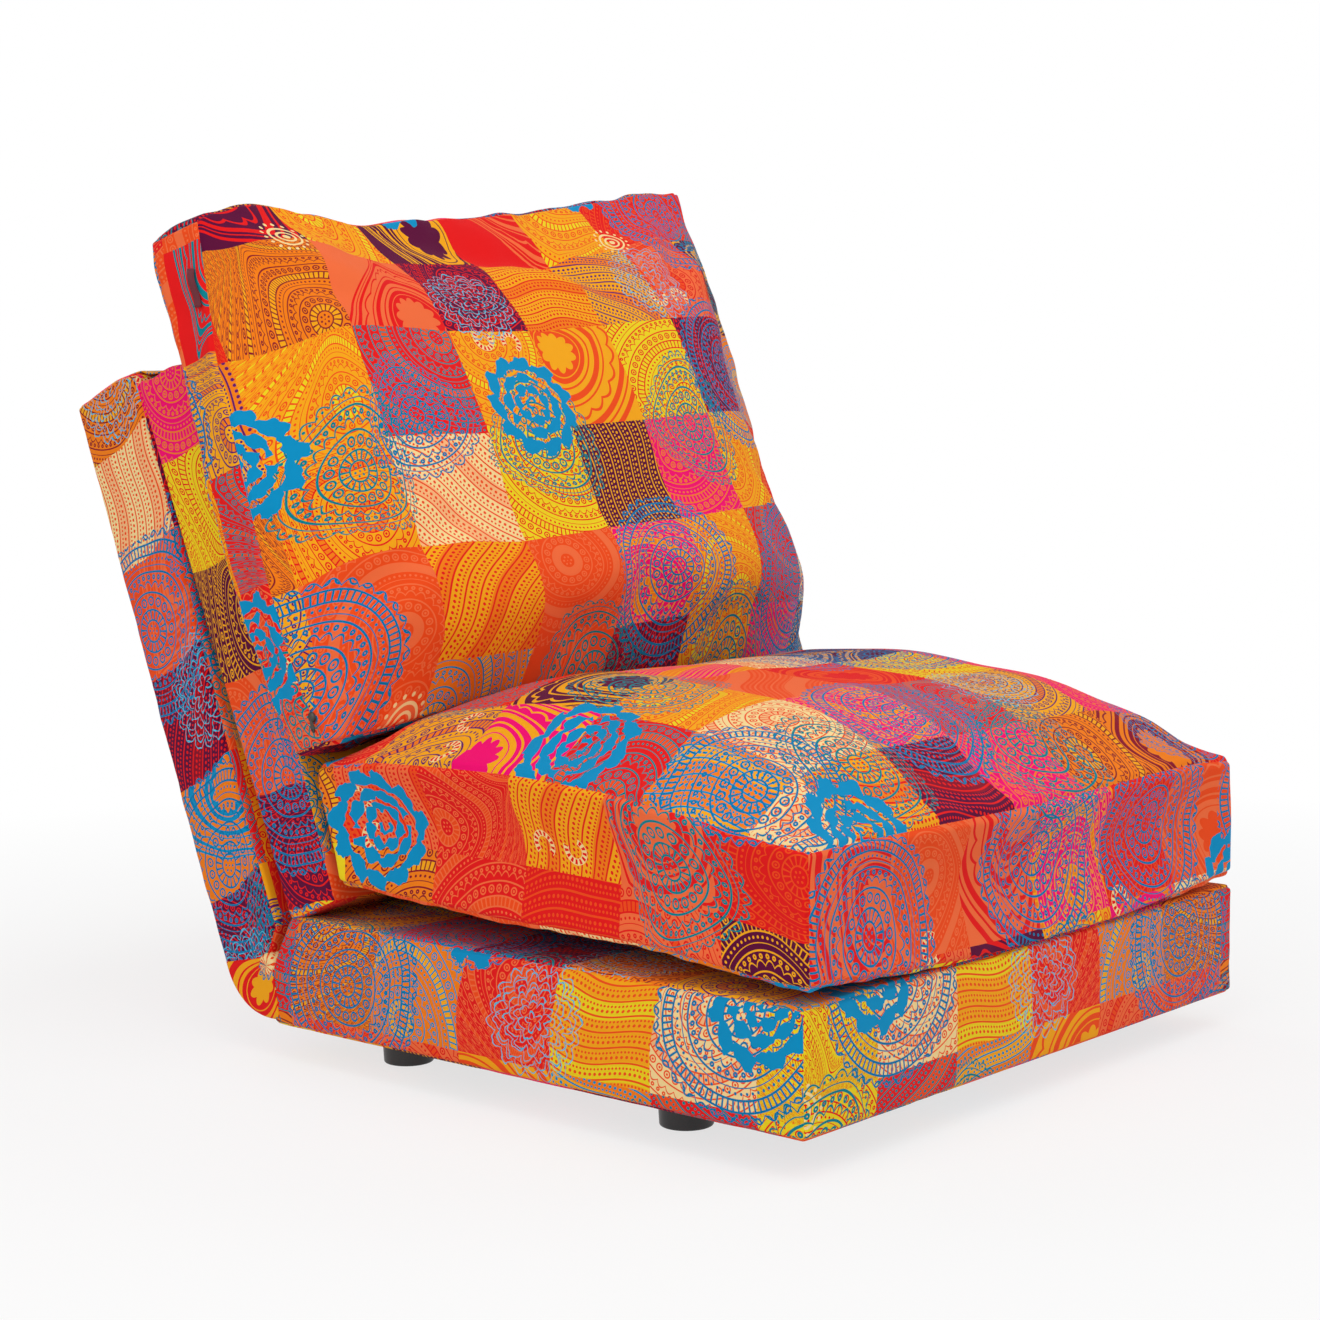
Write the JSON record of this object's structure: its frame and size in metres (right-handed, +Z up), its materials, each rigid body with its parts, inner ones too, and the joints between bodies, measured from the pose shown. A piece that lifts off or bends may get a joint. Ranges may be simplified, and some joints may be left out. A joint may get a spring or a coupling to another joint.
{
  "type": "convertible armchair",
  "caption": "Low armless flip chair in patchwork print: hinged base, back and fold-over head sections with loose seat and back cushions; opens flat into a bed.",
  "frame": {"origin": "on the floor under the middle of the whole chair's length and width", "axes": "+Z up; the sitter faces -Y; the sitter's right-hand side is -X"},
  "size_m": [0.7316, 0.9524, 0.8845],
  "materials": {
    "print_cloth": "matte",
    "filling": "matte",
    "foot_plastic": "satin",
    "black_steel": "satin",
    "zinc_steel": "satin",
    "board": "matte",
    "zip_metal": "satin",
    "zip_tape": "matte",
    "tab_cloth": "satin"
  },
  "bodies": {
    "seat_base": {"base_cover": "print_cloth", "base_deck": "board", "base_filling": "filling", "base_foot_1": "foot_plastic", "base_foot_2": "foot_plastic", "base_foot_3": "foot_plastic", "base_foot_4": "foot_plastic", "base_foot_screw_1": "zinc_steel", "base_foot_screw_2": "zinc_steel", "base_foot_screw_3": "zinc_steel", "base_foot_screw_4": "zinc_steel", "base_frame": "black_steel", "hinge_arm_left": "black_steel", "hinge_arm_right": "black_steel", "hinge_gusset": "print_cloth", "pawl_left": "zinc_steel", "pawl_right": "zinc_steel", "pivot_pin_left": "zinc_steel", "pivot_pin_right": "zinc_steel"},
    "back_section": {"back_cover": "print_cloth", "back_filling": "filling", "back_foot_1": "foot_plastic", "back_foot_2": "foot_plastic", "back_foot_3": "foot_plastic", "back_foot_4": "foot_plastic", "back_foot_screw_1": "zinc_steel", "back_foot_screw_2": "zinc_steel", "back_foot_screw_3": "zinc_steel", "back_foot_screw_4": "zinc_steel", "back_frame": "black_steel", "fold_web": "print_cloth", "hinge_sector_left": "black_steel", "hinge_sector_right": "black_steel"},
    "head_section": {"head_cover": "print_cloth", "head_filling": "filling"},
    "seat_cushion": {"seat_cushion_cover": "print_cloth", "seat_cushion_filling": "filling", "seat_cushion_zip": "zip_tape", "seat_cushion_zip_puller": "zip_metal"},
    "back_cushion": {"back_cushion_cover": "print_cloth", "back_cushion_filling": "filling", "back_cushion_tab": "tab_cloth", "back_cushion_zip": "zip_tape", "back_cushion_zip_puller": "zip_metal"}
  },
  "joints": [
    {"name": "back_recline", "type": "hinge", "parent": "seat_base", "child": "back_section", "pos_m": [0, 0.20078, 0.091], "axis": [-1, 0, 0], "range_deg": [0, 67.5], "deforming": ["hinge_gusset"]},
    {"name": "head_unfold", "type": "hinge", "parent": "back_section", "child": "head_section", "pos_m": [0, 0.38442, 0.66762], "axis": [-1, 0, 0], "range_deg": [0, 180], "deforming": ["fold_web"]},
    {"name": "back_cushion_carry", "type": "hinge", "parent": "head_section", "child": "back_cushion", "pos_m": [0, 0.09093, 0.20469], "axis": [-1, 0, 0], "range_deg": [-180, 0]},
    {"name": "seat_cushion_slide", "type": "slide", "parent": "seat_base", "child": "seat_cushion", "axis": [0, -1, 0], "range_m": [0, 1.728]}
  ],
  "couplings": [
    {"joint": "back_cushion_carry", "follows": "head_unfold", "ratio": -1},
    {"joint": "seat_cushion_slide", "follows": "head_unfold", "m_per_rad": 0.55}
  ]
}
